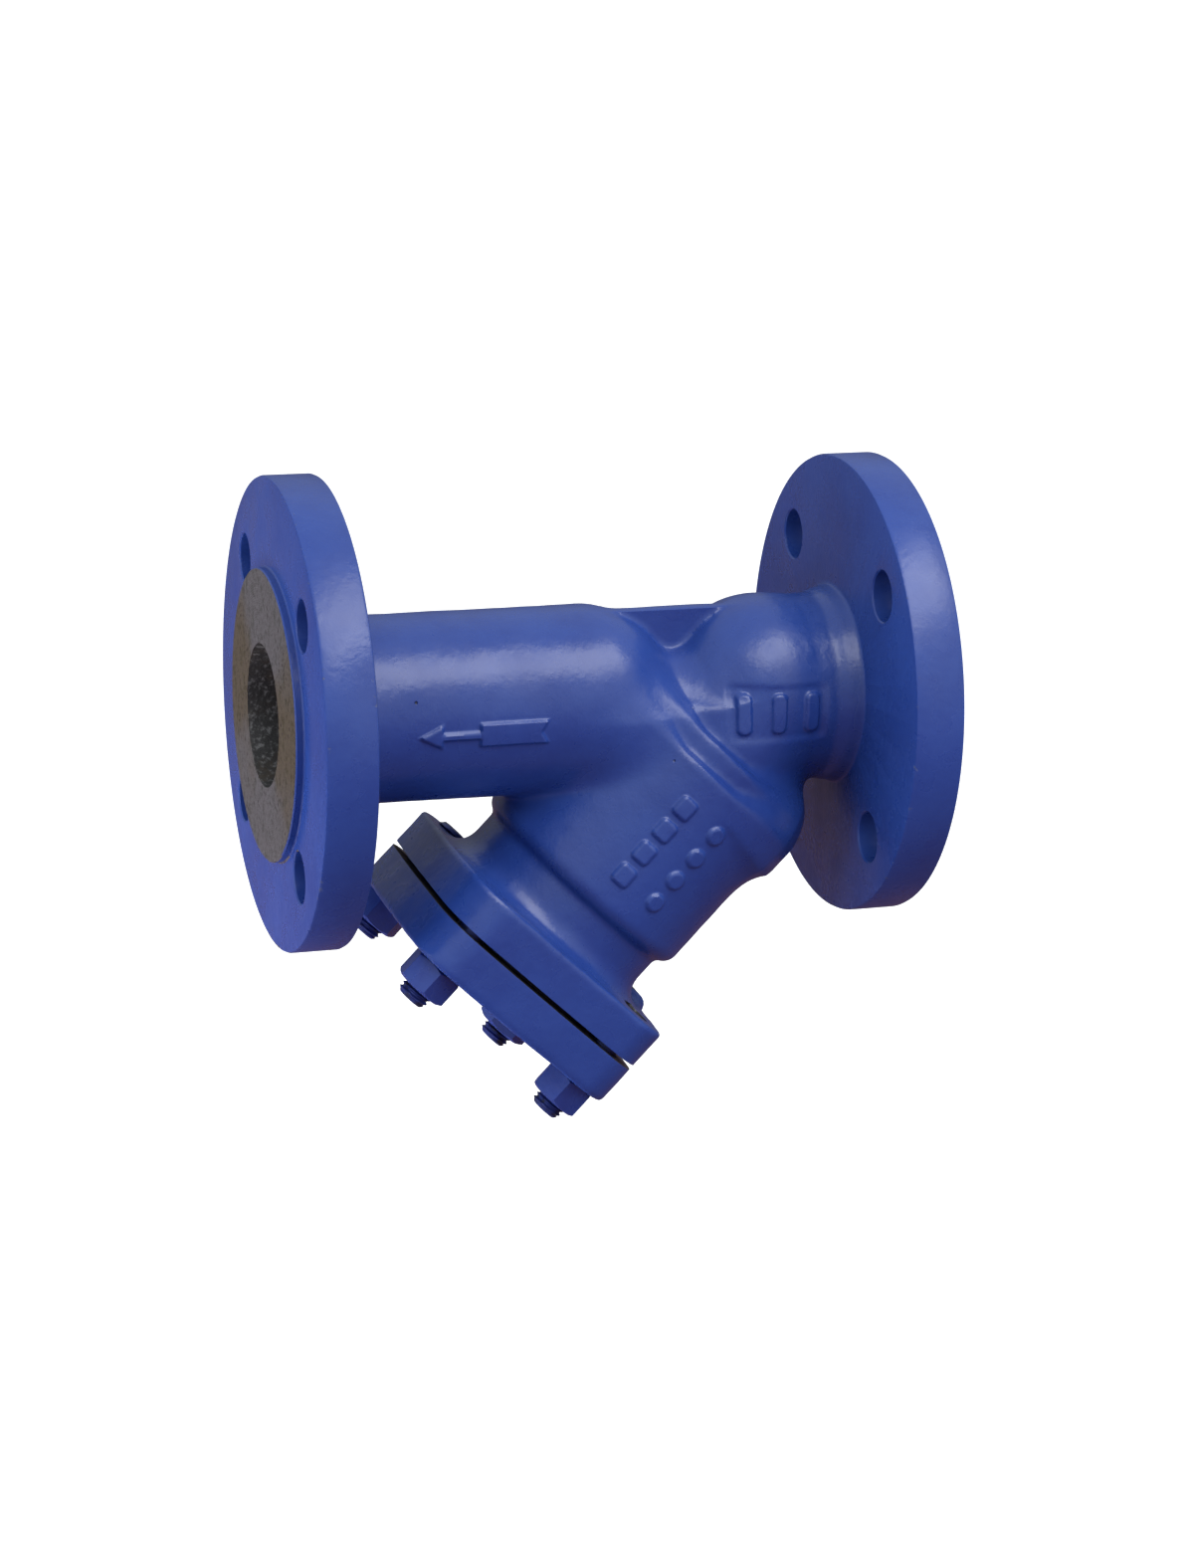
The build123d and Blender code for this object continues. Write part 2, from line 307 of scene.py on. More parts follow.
def cast_skin(points):
    """Distance to the whole casting apart from the pipe flanges and the raised marks."""
    x, y, z = points.T
    pipe_r = np.hypot(y, z)
    outlet_run = np.hypot(pipe_r, np.maximum(x - OUTLET_DOME_X, 0.0)) - TUBE_R
    valley_reach = np.clip(22.0 - 0.55 * np.abs(z), 6.0, 22.0)
    skin = soft_join(outlet_run, branch_skin(points), valley_reach)
    back_fill = np.maximum(np.hypot(x - BACK_FILL_X, y) - BACK_FILL_R, np.maximum(z, -z - BACK_FILL_DEPTH))
    skin = soft_join(skin, back_fill, 7.0)
    web = np.maximum(np.abs(y) - WEB_THICK / 2, z - WEB_TOP)
    web = np.maximum(web, np.maximum(OUTLET_DOME_X - x, x - WEB_END_X))
    skin = soft_join(skin, web, 1.6)
    skin = soft_join(skin, flange_root(pipe_r, x), 4.5)
    skin = soft_join(skin, flange_root(pipe_r, FACE_TO_FACE - x), 4.5)
    across, side, along = branch_places(points)
    neck_r = np.hypot(across, side)
    neck = np.maximum(neck_r - NECK_R, np.maximum(80 - along, along - BONNET_TOP_T - 4))
    skin = soft_join(skin, neck, 1.6)
    middle = (BONNET_TOP_T + COVER_T) / 2
    plate = round_cut(plate_outline(across, side), np.abs(along - middle) - (COVER_T - middle), 1.6)
    skin = soft_join(skin, plate, 9.0)
    return np.maximum(skin, np.maximum(CASTING_END - x, x - FACE_TO_FACE + CASTING_END))


# ---------------------------------------------------------------- raised marks


def rounded_box(u, v, half_u, half_v, radius):
    """Distance to a rectangle with rounded corners about the origin."""
    du = np.abs(u) - half_u + radius
    dv = np.abs(v) - half_v + radius
    outside = np.hypot(np.maximum(du, 0.0), np.maximum(dv, 0.0))
    return outside + np.minimum(np.maximum(du, dv), 0.0) - radius


def arrow_outline(x, z):
    """Distance to the flow arrow that points at the outlet."""
    height = np.abs(z + 1.2)
    head = np.maximum((4.2 * (47.0 - x) + 8.5 * height) / 9.5, x - 55.5)
    shaft = rounded_box(x - 61.0, height, 8.0, 1.4, 0.3)
    tail = rounded_box(x - 81.0, height, 12.3, 4.2, 0.4)
    notch = (x - 90.8) - height * 0.6
    tail = np.maximum(tail, notch)
    return np.minimum(np.minimum(head, shaft), tail)


def mark_outline(points):
    """Distance across the skin to the nearest raised mark; positive outside the marks."""
    x, y, z = points.T
    across, _, along = branch_places(points)
    marks = arrow_outline(x, z)
    for bar_x in (165.0, 177.5, 190.0):
        marks = np.minimum(marks, rounded_box(x - bar_x, z, 2.5, 7.0, 2.0))
    for number in range(4):
        t = 49.0 + 10.5 * number
        marks = np.minimum(marks, rounded_box(across + 9.5, along - t, 3.25, 3.75, 1.5))
        marks = np.minimum(marks, np.hypot(across - 6.5, along - t) - 3.4)
    return np.where(y < -5.0, marks, 50.0)


def label_outline(points):
    """Distance across the skin to the sunk label field on the inlet neck."""
    x, y, z = points.T
    field = rounded_box(x - 177.5, z, 17.5, 9.5, 2.0)
    return np.where(y < -5.0, field, 50.0)


def step_up(share):
    """Smooth step from 0 to 1 as a share goes from 0 to 1."""
    share = np.clip(share, 0.0, 1.0)
    return share * share * (3 - 2 * share)


def marked_skin(points):
    """Distance to the casting with its raised marks and the sunk field under three of them."""
    raised = step_up(0.5 - mark_outline(points) / 1.3)
    sunk = step_up(0.5 - label_outline(points) / 2.0)
    return cast_skin(points) - MARK_HEIGHT * raised + LABEL_DEPTH * sunk


# ---------------------------------------------------------------- fitting a mesh to a skin


def slope(skin, points, step=0.05):
    """Outward slope of a distance at each point."""
    shifts = np.eye(3) * step
    return np.column_stack([skin(points + s) - skin(points - s) for s in shifts]) / (2 * step)


def pull_to(skin, points, rounds):
    """Moves points onto a skin along its slope."""
    for _ in range(rounds):
        normal = slope(skin, points)
        size = np.maximum((normal * normal).sum(axis=1), 0.25)
        points = points - normal * (skin(points) / size)[:, None]
    return points


def relax(obj, rounds):
    """Evens out a mesh by moving each vertex towards its neighbours."""
    bm = bmesh.new()
    bm.from_mesh(obj.data)
    all_ways = {"use_axis_x": True, "use_axis_y": True, "use_axis_z": True}
    for _ in range(rounds):
        bmesh.ops.smooth_vert(bm, verts=bm.verts, factor=0.5, **all_ways)
    bm.to_mesh(obj.data)
    bm.free()


def refine_near(obj, outline, reach, cuts):
    """Splits the faces that lie within reach of an outline into smaller ones."""
    bm = bmesh.new()
    bm.from_mesh(obj.data)
    centres = np.array([face.calc_center_median() for face in bm.faces]) / MM
    near = outline(centres) < reach
    edges = {edge for face, chosen in zip(bm.faces, near) if chosen for edge in face.edges}
    bmesh.ops.subdivide_edges(bm, edges=list(edges), cuts=cuts, use_grid_fill=True)
    bm.to_mesh(obj.data)
    bm.free()


def waviness(points, length, seed):
    """Smooth noise of about -1 to 1 whose bumps are a length apart."""
    shift = Vector((seed * 17.3, seed * 5.1, seed * 9.7))
    return np.array([noise.noise(Vector(p) / length + shift) for p in points])


def roughen(skin, points, amounts, seed):
    """Moves points along the slope by smooth noise. amounts gives (bump length, height) pairs."""
    normal = slope(skin, points)
    size = np.sqrt((normal * normal).sum(axis=1))
    normal = normal / np.maximum(size, 0.5)[:, None]
    for number, (length, height) in enumerate(amounts):
        points = points + normal * (height * waviness(points, length, seed + number))[:, None]
    return points


# ---------------------------------------------------------------- the body


def plate_prism(name, start, end):
    """Square bowed plate across the branch, with sharp rims."""
    bm = bmesh.new()
    angles = np.linspace(0, 2 * math.pi, 160, endpoint=False)
    near, far = np.zeros_like(angles), np.full_like(angles, 80.0)
    for _ in range(30):
        middle = (near + far) / 2
        inside = plate_outline(middle * np.cos(angles), middle * np.sin(angles)) < 0
        near, far = np.where(inside, middle, near), np.where(inside, far, middle)
    low = [bm.verts.new((r * math.cos(a), r * math.sin(a), start)) for r, a in zip(near, angles)]
    high = [bm.verts.new((v.co.x, v.co.y, end)) for v in low]
    bm.faces.new(low)
    bm.faces.new(high)
    for number in range(len(low)):
        following = (number + 1) % len(low)
        bm.faces.new([low[number], low[following], high[following], high[number]])
    return from_bmesh(name, bm, to_branch)


def rough_casting():
    """Overlapping simple shapes that fill the casting's place before its skin is fitted."""
    return merged([
        rod("casting", TUBE_R, CASTING_END, OUTLET_DOME_X, to_pipe),
        ball("dome", TUBE_R, (OUTLET_DOME_X, 0, 0)),
        rod("inlet_run", TUBE_R, BRANCH_X, FACE_TO_FACE - CASTING_END, to_pipe),
        rod("outlet_root", 44, CASTING_END, FLANGE_THICK, to_pipe),
        rod("inlet_root", 44, FACE_TO_FACE - FLANGE_THICK, FACE_TO_FACE - CASTING_END, to_pipe),
        ball("elbow", LEG_R + 1.0, (BRANCH_X, 0, 0)),
        rod("leg", LEG_R, 0, CHAMBER_T + 5, to_branch),
        rod("band", SEAT_BAND_R, SEAT_BAND_T, CHAMBER_T + 5, to_branch),
        rod("chamber", CHAMBER_R, CHAMBER_T, NECK_T, to_branch),
        rod("neck", NECK_R, 80, BONNET_TOP_T + 4, to_branch),
        rod("back_fill", BACK_FILL_R, -BACK_FILL_DEPTH, 0, Matrix.Translation((BACK_FILL_X, 0, 0))),
        block("web", (OUTLET_DOME_X, -WEB_THICK / 2, -5), (WEB_END_X, WEB_THICK / 2, WEB_TOP)),
        plate_prism("plate", BONNET_TOP_T, COVER_T),
    ])


def soft_casting():
    """The casting's outside with its soft transitions, raised marks and slight unevenness."""
    casting = rough_casting()
    voxel_skin(casting, CAST_VOXEL)
    set_points(casting.data, pull_to(cast_skin, points_of(casting.data), 4))
    relax(casting, 3)
    set_points(casting.data, pull_to(cast_skin, points_of(casting.data), 3))
    refine_near(casting, mark_outline, 1.8, 2)
    points = pull_to(marked_skin, points_of(casting.data), 5)
    points = roughen(marked_skin, points, [(21.0, 0.22), (7.0, 0.10)], seed=1)
    set_points(casting.data, points)
    return casting


def pipe_flange(name, place):
    """Pipe flange with its raised face and softened rims."""
    rim = FLANGE_R
    back = FLANGE_THICK
    front = RAISED_FACE_HEIGHT
    profile = [
        (0, 0),
        (RAISED_FACE_R - 0.4, 0),
        (RAISED_FACE_R, 0.4),
        (RAISED_FACE_R, front - 0.5),
        (RAISED_FACE_R + 0.5, front),
        (rim - 1.1, front),
        (rim - 0.35, front + 0.3),
        (rim, front + 1.1),
        (rim, back - 1.3),
        (rim - 0.4, back - 0.4),
        (rim - 1.3, back),
        (0, back),
    ]
    return turned(name, profile, place, segments=256)


def bolt_holes(place):
    """Bolt hole cutters of one pipe flange, straddling the centre lines."""
    cutters = []
    for number in range(4):
        angle = math.radians(45 + 90 * number)
        centre = (BOLT_CIRCLE_R * math.cos(angle), BOLT_CIRCLE_R * math.sin(angle), 0)
        front, back = RAISED_FACE_HEIGHT, FLANGE_THICK
        wide = BOLT_HOLE_R + 0.5
        profile = [(0, front - 2), (wide, front - 2), (wide, front), (BOLT_HOLE_R, front + 0.5)]
        profile += [(BOLT_HOLE_R, back - 0.5), (wide, back), (wide, back + 2), (0, back + 2)]
        cutters.append(turned("bolt_hole", profile, place @ Matrix.Translation(centre), segments=64))
    return cutters


def at_studs():
    """(across, side) of the four studs."""
    return [(x * STUD_OFFSET, y * STUD_OFFSET) for x, y in [(-1, -1), (1, -1), (1, 1), (-1, 1)]]


def stud_holes(radius, starts, end):
    """Cutters for the four stud holes, each from its own start."""
    places = [to_branch @ Matrix.Translation((x, y, 0)) for x, y in at_studs()]
    return [rod("stud_hole", radius, start, end, place, 48) for start, place in zip(starts, places)]


def flow_space():
    """The cored inside: inlet elbow, screen seat, chamber and outlet run round the bridge wall."""
    outlet_way = rod("flow_space", BORE_R, -5, OUTLET_DOME_X, to_pipe, 160)
    combine(outlet_way, [ball("outlet_end", BORE_R, (OUTLET_DOME_X, 0, 0), 160)], "UNION")
    bridge = rod("bridge", BORE_R + BRIDGE_WALL, -20, SEAT_POCKET_T, to_branch)
    seat_ring = rod("seat_ring", RING_R + SEAT_RING_WALL, SEAT_BAND_T, SEAT_POCKET_T, to_branch)
    combine(outlet_way, [bridge, seat_ring], "DIFFERENCE")
    rest = [
        rod("inlet_way", BORE_R, BRANCH_X, FACE_TO_FACE + 5, to_pipe, 160),
        ball("elbow_way", BORE_R, (BRANCH_X, 0, 0), 160),
        rod("leg_way", BORE_R, 0, SEAT_T + 1, to_branch, 160),
        rod("seat", RING_R + 0.3, SEAT_T, SEAT_POCKET_T + 0.1, to_branch, 160),
        rod("screen_space", CHAMBER_BORE_R, SEAT_POCKET_T, BONNET_FACE_T + 5, to_branch, 160),
    ]
    return combine(outlet_way, rest, "UNION")


def body_finish(mesh):
    """Gives each face of the body its finish: 0 enamel, 1 machined face, 2 raw bore, 3 joint face."""
    points = of_faces(mesh, "center") / MM
    normals = of_faces(mesh, "normal")
    x = points[:, 0]
    pipe_r = np.hypot(points[:, 1], points[:, 2])
    along = branch_places(points)[2]
    finish = np.zeros(len(points), np.int32)
    at_face = (np.minimum(x, FACE_TO_FACE - x) < 0.3) & (np.abs(normals[:, 0]) > 0.9)
    finish[at_face] = 1
    near_end = np.minimum(x, FACE_TO_FACE - x) < 30
    inside = (cast_skin(points) < -1.5) | ((pipe_r < BORE_R + 0.2) & near_end)
    finish[inside & ~at_face] = 2
    finish[(along > BONNET_FACE_T - 0.1) & (normals @ branch_along > 0.9)] = 3
    mesh.polygons.foreach_set("material_index", finish)


def make_body(materials):
    """Casting with both pipe flanges, bored, drilled and faced."""
    body = soft_casting()
    flanges = [pipe_flange("outlet_flange", to_pipe), pipe_flange("inlet_flange", from_inlet)]
    combine(body, flanges, "UNION")
    beyond_joint = block("beyond_joint", (-70, -70, BONNET_FACE_T), (70, 70, COVER_T + 20), to_branch)
    cutters = [beyond_joint, flow_space(), *bolt_holes(to_pipe), *bolt_holes(from_inlet)]
    tapped_from = [back - HOLE_BEYOND_STUD for back in STUD_BACK_T]
    cutters += stud_holes(STUD_R + 0.05, tapped_from, BONNET_FACE_T + 3)
    combine(body, cutters, "DIFFERENCE")
    body.data.materials.clear()
    for name in ("enamel", "machined_face", "raw_bore", "joint_face"):
        body.data.materials.append(materials[name])
    body_finish(body.data)
    shade(body)
    body.name = "body_casting"
    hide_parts("body")
    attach(body, "casing")
    return body


# ---------------------------------------------------------------- cover and fasteners


def cover_skin(points):
    """Distance to the cover before its machined face is cut."""
    across, side, along = branch_places(points)
    middle = (COVER_T - 2 + COVER_OUT_T) / 2
    return round_cut(plate_outline(across, side), np.abs(along - middle) - (COVER_OUT_T - middle), 1.8)


def make_cover(materials):
    """Blind cover with softened cast rims, stud holes and the pocket for the screen's lower hoop."""
    cover = plate_prism("cover_casting", COVER_T - 2, COVER_OUT_T)
    voxel_skin(cover, CAST_VOXEL)
    points = pull_to(cover_skin, points_of(cover.data), 5)
    points = roughen(cover_skin, points, [(19.0, 0.22), (7.0, 0.10)], seed=5)
    set_points(cover.data, points)
    cutters = [
        block("before_joint", (-70, -70, COVER_T - 20), (70, 70, COVER_T), to_branch),
        rod("pocket", RING_R + 0.3, COVER_T - 5, COVER_T + POCKET_DEPTH, to_branch),
        rod("relief", RELIEF_R, COVER_T - 5, COVER_T + RELIEF_DEPTH, to_branch),
        *stud_holes(STUD_CLEARANCE_R, [COVER_T - 3] * 4, COVER_OUT_T + 3),
    ]
    combine(cover, cutters, "DIFFERENCE")
    cover.data.materials.clear()
    cover.data.materials.append(materials["cover_enamel"])
    cover.data.materials.append(materials["joint_face"])
    machined = of_faces(cover.data, "normal") @ branch_along < -0.9
    cover.data.polygons.foreach_set("material_index", machined.astype(np.int32))
    shade(cover)
    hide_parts("cover")
    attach(cover, "cover")
    return cover


def thread_radius(along, angle, back):
    """Radius of the stud at a station and angle: a helical V thread on both ends, plain between."""
    phase = (along / THREAD_PITCH - angle / (2 * math.pi)) % 1.0
    flank = min(1.0, abs(phase - 0.5) / 0.38)
    threaded = along < BONNET_FACE_T or along > COVER_OUT_T - 4
    radius = STUD_R - 0.05 - (THREAD_DEPTH * flank if threaded else 0.0)
    from_end = min(along - back, STUD_TIP_T - along)
    return min(radius, STUD_R - 1.5 + from_end)


def make_stud(number, place, back, material):
    """Stud with a real helical thread and chamfered ends."""
    segments = 40
    threaded_step = THREAD_PITCH / 8
    rows = np.arange(back, BONNET_FACE_T + 0.5, threaded_step).tolist()
    rows += np.arange(COVER_OUT_T - 4.5, STUD_TIP_T, threaded_step).tolist()
    rows.append(STUD_TIP_T)
    bm = bmesh.new()
    rings = []
    for along in rows:
        angles = [2 * math.pi * step / segments for step in range(segments)]
        radii = [thread_radius(along, angle, back) for angle in angles]
        rings.append([bm.verts.new((r * math.cos(a), r * math.sin(a), along)) for r, a in zip(radii, angles)])
    bm.faces.new(rings[0])
    bm.faces.new(rings[-1])
    for low, high in zip(rings, rings[1:]):
        for step in range(segments):
            following = (step + 1) % segments
            bm.faces.new([low[step], low[following], high[following], high[step]])
    stud = from_bmesh(f"stud_{number}_thread", bm, place)
    stud.data.materials.append(material)
    shade(stud, 60)
    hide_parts(f"stud_{number}")
    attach(stud, "casing")


def make_nut(number, place, turn, material):
    """Painted hexagon nut with chamfered corners, turned as it was tightened."""
    base = COVER_OUT_T + 0.05
    top = base + NUT_HEIGHT
    corner_r = NUT_ACROSS_FLATS / 2 / math.cos(math.pi / 6)
    spin = place @ Matrix.Rotation(math.radians(turn), 4, "Z")
    nut = rod(f"nut_{number}_hexagon", corner_r, base, top, spin, 6)
    chamfer = [(0, base), (8.7, base), (corner_r + 0.1, base + 1.1), (corner_r + 0.1, top - 1.3)]
    chamfer += [(8.3, top), (0, top)]
    outside = turned("chamfer", chamfer, spin, 96)
    combine(nut, [outside], "INTERSECT")
    combine(nut, [rod("bore", STUD_R - 0.02, base - 1, top + 1, spin, 48)], "DIFFERENCE")
    bevel = nut.modifiers.new("paint_film", "BEVEL")
    bevel.width = 0.45 * MM
    bevel.segments = 3
    bevel.limit_method = "ANGLE"
    bevel.angle_limit = math.radians(25)
    nut.data.materials.clear()
    nut.data.materials.append(material)
    shade(nut)
    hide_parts(f"nut_{number}")
    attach(nut, f"nut_{number}")


def make_fasteners(materials):
    """Studs and nuts at the four corners of the cover."""
    turns = [8, 21, 55, 43]
    for number, ((x, y), back, turn) in enumerate(zip(at_studs(), STUD_BACK_T, turns), start=1):
        place = to_branch @ Matrix.Translation((x, y, 0))
        make_stud(number, place, back, materials["stud_steel"])
        make_nut(number, place, turn, materials["nut_paint"])


# ---------------------------------------------------------------- the screen's wire mesh


def wire(bm, path, radius, closed):
    """Three-sided wire along a path of points."""
    rings = []
    count = len(path)
    for number, point in enumerate(path):
        following = path[(number + 1) % count] if closed or number + 1 < count else point
        before = path[number - 1] if closed or number else point
        ahead = (following - before).normalized()
        outward = Vector((point.x, point.y, 0)).normalized()
        across = ahead.cross(outward).normalized()
        up = across.cross(ahead)
        corners = []
        for step in range(3):
            angle = 2 * math.pi * step / 3
            corners.append(bm.verts.new(point + radius * (math.cos(angle) * across + math.sin(angle) * up)))
        rings.append(corners)
    pairs = list(zip(rings, rings[1:]))
    if closed:
        pairs.append((rings[-1], rings[0]))
    for low, high in pairs:
        for step in range(3):
            following = (step + 1) % 3
            bm.faces.new([low[step], low[following], high[following], high[step]])


def make_lining(material):
    """Plain-woven wire mesh rolled inside the perforated tube."""
    around = 98
    pitch = 2 * math.pi * LINING_R / around
    rows = int((LINING_END_T - LINING_START_T) / pitch)
    weave = 0.16
    thick = 0.13
    bm = bmesh.new()
    for row in range(rows + 1):
        along = LINING_START_T + row * pitch
        path = []
        for step in range(2 * around):
            angle = math.pi * step / around
            r = LINING_R + weave * math.cos(math.pi * (step + 2 * row) / 2)
            path.append(Vector((r * math.cos(angle), r * math.sin(angle), along)))
        wire(bm, path, thick, closed=True)
    for column in range(around):
        angle = 2 * math.pi * column / around
        path = []
        for step in range(2 * rows + 1):
            r = LINING_R - weave * math.cos(math.pi * (step + 2 * column) / 2)
            path.append(Vector((r * math.cos(angle), r * math.sin(angle), LINING_START_T + step * pitch / 2)))
        wire(bm, path, thick, closed=False)
    lining = from_bmesh("screen_wire_mesh", bm, to_branch)
    lining.data.materials.append(material)
    lining.data.shade_smooth()
    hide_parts("screen_mesh_lining")
    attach(lining, "screen")


# ---------------------------------------------------------------- materials


def new_material(name):
    """Material with a principled shader. Returns it with its node tree and shader."""
    material = bpy.data.materials.new(name)
    material.use_nodes = True
    tree = material.node_tree
    return material, tree, tree.nodes["Principled BSDF"]


def put(tree, kind, inputs, output=0, **settings):
    """Adds a node, sets or links its inputs and returns one of its outputs."""
    made = tree.nodes.new("ShaderNode" + kind)
    for name, value in settings.items():
        setattr(made, name, value)
    for name, value in inputs.items():
        if isinstance(value, bpy.types.NodeSocket):
            tree.links.new(value, made.inputs[name])
        else:
            made.inputs[name].default_value = value
    return made.outputs[output]


def object_place(tree):
    """Position on the object, which goes with it when it moves."""
    return tree.nodes.new("ShaderNodeTexCoord").outputs["Object"]


def noise_at(tree, place, scale, detail=3.0, roughness=0.55):
    """Smooth noise of 0 to 1."""
    inputs = {"Vector": place, "Scale": scale, "Detail": detail, "Roughness": roughness}
    return put(tree, "TexNoise", inputs)


def between(tree, value, low, high, first=0.0, last=1.0):
    """Remaps a value smoothly from the range low to high onto first to last."""
    inputs = {"Value": value, "From Min": low, "From Max": high, "To Min": first, "To Max": last}
    return put(tree, "MapRange", inputs, interpolation_type="SMOOTHSTEP")


def calc(tree, how, a, b=0.0):
    """Result of a sum between two values."""
    return put(tree, "Math", {0: a, 1: b}, operation=how)


def mix_colour(tree, factor, first, second):
    """Colour between two others."""
    return put(tree, "Mix", {0: factor, 6: first, 7: second}, output=2, data_type="RGBA")


def bump(tree, height, distance, strength=1.0, under=None):
    """Surface normal bumped by a height given as a distance in metres."""
    inputs = {"Height": height, "Distance": distance, "Strength": strength}
    if under is not None:
        inputs["Normal"] = under
    return put(tree, "Bump", inputs)


def rim_nearness(tree, place):
    """1 on the rims of both pipe flanges, fading to 0 two millimetres away."""
    source = put(tree, "SeparateXYZ", {0: place}).node
    flat = put(tree, "CombineXYZ", {1: source.outputs[1], 2: source.outputs[2]})
    r = put(tree, "VectorMath", {0: flat}, output=1, operation="LENGTH")
    to_rim = calc(tree, "ABSOLUTE", calc(tree, "SUBTRACT", r, FLANGE_R * MM))
    from_middle = calc(tree, "ABSOLUTE", calc(tree, "SUBTRACT", source.outputs[0], FACE_TO_FACE * MM / 2))
    half = FACE_TO_FACE / 2
    outer = calc(tree, "ABSOLUTE", calc(tree, "SUBTRACT", from_middle, (half - RAISED_FACE_HEIGHT) * MM))
    inner = calc(tree, "ABSOLUTE", calc(tree, "SUBTRACT", from_middle, (half - FLANGE_THICK) * MM))
    to_edge = calc(tree, "MINIMUM", outer, inner)
    distance = calc(tree, "ADD", to_rim, to_edge)
    return between(tree, distance, 0.0, 0.0022, 1.0, 0.0)


def enamel(name, colour, deep, rims):
    """Thick blue enamel over sand-cast iron: orange peel, soft mottling, rare pinholes and chipped rims."""
    material, tree, shader = new_material(name)
    place = object_place(tree)
    patches = between(tree, noise_at(tree, place, 28.0, 4.0), 0.35, 0.7)
    mottle = between(tree, noise_at(tree, place, 240.0, 3.0), 0.3, 0.75)
    blue = mix_colour(tree, calc(tree, "MULTIPLY", patches, 0.6), colour, deep)
    blue = mix_colour(tree, calc(tree, "MULTIPLY", mottle, 0.14), blue, (0.030, 0.072, 0.285, 1.0))
    cells = put(tree, "TexVoronoi", {"Vector": place, "Scale": 95.0, "Randomness": 1.0})
    chosen = between(tree, noise_at(tree, place, 31.0, 1.0), 0.66, 0.70)
    pinholes = calc(tree, "MULTIPLY", between(tree, cells, 0.03, 0.07, 1.0, 0.0), chosen)
    blue = mix_colour(tree, pinholes, blue, (0.006, 0.008, 0.03, 1.0))
    ragged = noise_at(tree, place, 420.0, 4.0, 0.7)
    chips = calc(tree, "MULTIPLY", between(tree, ragged, 0.63, 0.68), 0.8 if rims else 0.0)
    chips = calc(tree, "MULTIPLY", chips, rim_nearness(tree, place))
    blue = mix_colour(tree, chips, blue, (0.10, 0.11, 0.13, 1.0))
    tree.links.new(blue, shader.inputs["Base Color"])
    gloss = between(tree, noise_at(tree, place, 75.0, 4.0), 0.3, 0.75, 0.24, 0.36)
    gloss = calc(tree, "ADD", gloss, calc(tree, "MULTIPLY", chips, 0.3))
    tree.links.new(gloss, shader.inputs["Roughness"])
    peel = bump(tree, noise_at(tree, place, 330.0, 2.0), 0.0002, 0.6)
    grain = bump(tree, noise_at(tree, place, 1100.0, 3.0), 0.00006, 0.6, peel)
    dents = calc(tree, "ADD", calc(tree, "MULTIPLY", pinholes, -1.0), calc(tree, "MULTIPLY", chips, -0.5))
    tree.links.new(bump(tree, dents, 0.0004, 0.8, grain), shader.inputs["Normal"])
    shader.inputs["Specular IOR Level"].default_value = 0.55
    return material


def sidewaysness(tree, place):
    """0 straight above and below the pipe's axis, 1 level with it."""
    parts = put(tree, "SeparateXYZ", {0: place}).node
    side = calc(tree, "ABSOLUTE", parts.outputs[1])
    both = calc(tree, "ADD", side, calc(tree, "ABSOLUTE", parts.outputs[2]))
    return calc(tree, "DIVIDE", side, both)


def machined_face():
    """Turned sealing face: fine rings, a painted golden reflection level with the axis mixed with a random
    golden tint, dark specks and rust pits.
    """
    material, tree, shader = new_material("machined_face")
    place = object_place(tree)
    # Painted reflection: the face is painted golden level with the axis, where its turned rings would catch
    # the light; random noise adds real golden tint to it.
    sheen_and_tint = calc(tree, "ADD", sidewaysness(tree, place), noise_at(tree, place, 24.0, 5.0, 0.65))
    sheen_and_tint = between(tree, sheen_and_tint, 0.85, 1.3)
    steel = mix_colour(tree, sheen_and_tint, (0.29, 0.31, 0.32, 1.0), (0.24, 0.21, 0.12, 1.0))
    blotches = between(tree, noise_at(tree, place, 210.0, 5.0, 0.75), 0.47, 0.62)
    steel = mix_colour(tree, calc(tree, "MULTIPLY", blotches, 0.45), steel, (0.075, 0.070, 0.052, 1.0))
    fine = between(tree, noise_at(tree, place, 760.0, 4.0, 0.75), 0.42, 0.66)
    steel = mix_colour(tree, calc(tree, "MULTIPLY", fine, 0.7), steel, (0.05, 0.044, 0.03, 1.0))
    cells = put(tree, "TexVoronoi", {"Vector": place, "Scale": 330.0})
    here = between(tree, noise_at(tree, place, 60.0, 2.0), 0.48, 0.58)
    pits = calc(tree, "MULTIPLY", between(tree, cells, 0.10, 0.26, 1.0, 0.0), here)
    steel = mix_colour(tree, pits, steel, (0.02, 0.016, 0.012, 1.0))
    tree.links.new(steel, shader.inputs["Base Color"])
    tree.links.new(between(tree, blotches, 0.0, 1.0, 0.30, 0.52), shader.inputs["Roughness"])
    rings = put(
        tree, "TexWave", {"Vector": place, "Scale": 390.0, "Distortion": 1.2, "Detail": 2.0},
        output=1, wave_type="RINGS", rings_direction="X",
    )
    turned_rings = bump(tree, rings, 0.00006, 0.6)
    rough = bump(tree, noise_at(tree, place, 700.0, 3.0), 0.00008, 0.8, turned_rings)
    pitted = bump(tree, calc(tree, "MULTIPLY", pits, -1.0), 0.0004, 0.8, rough)
    tree.links.new(pitted, shader.inputs["Normal"])
    shader.inputs["Metallic"].default_value = 0.8
    return material


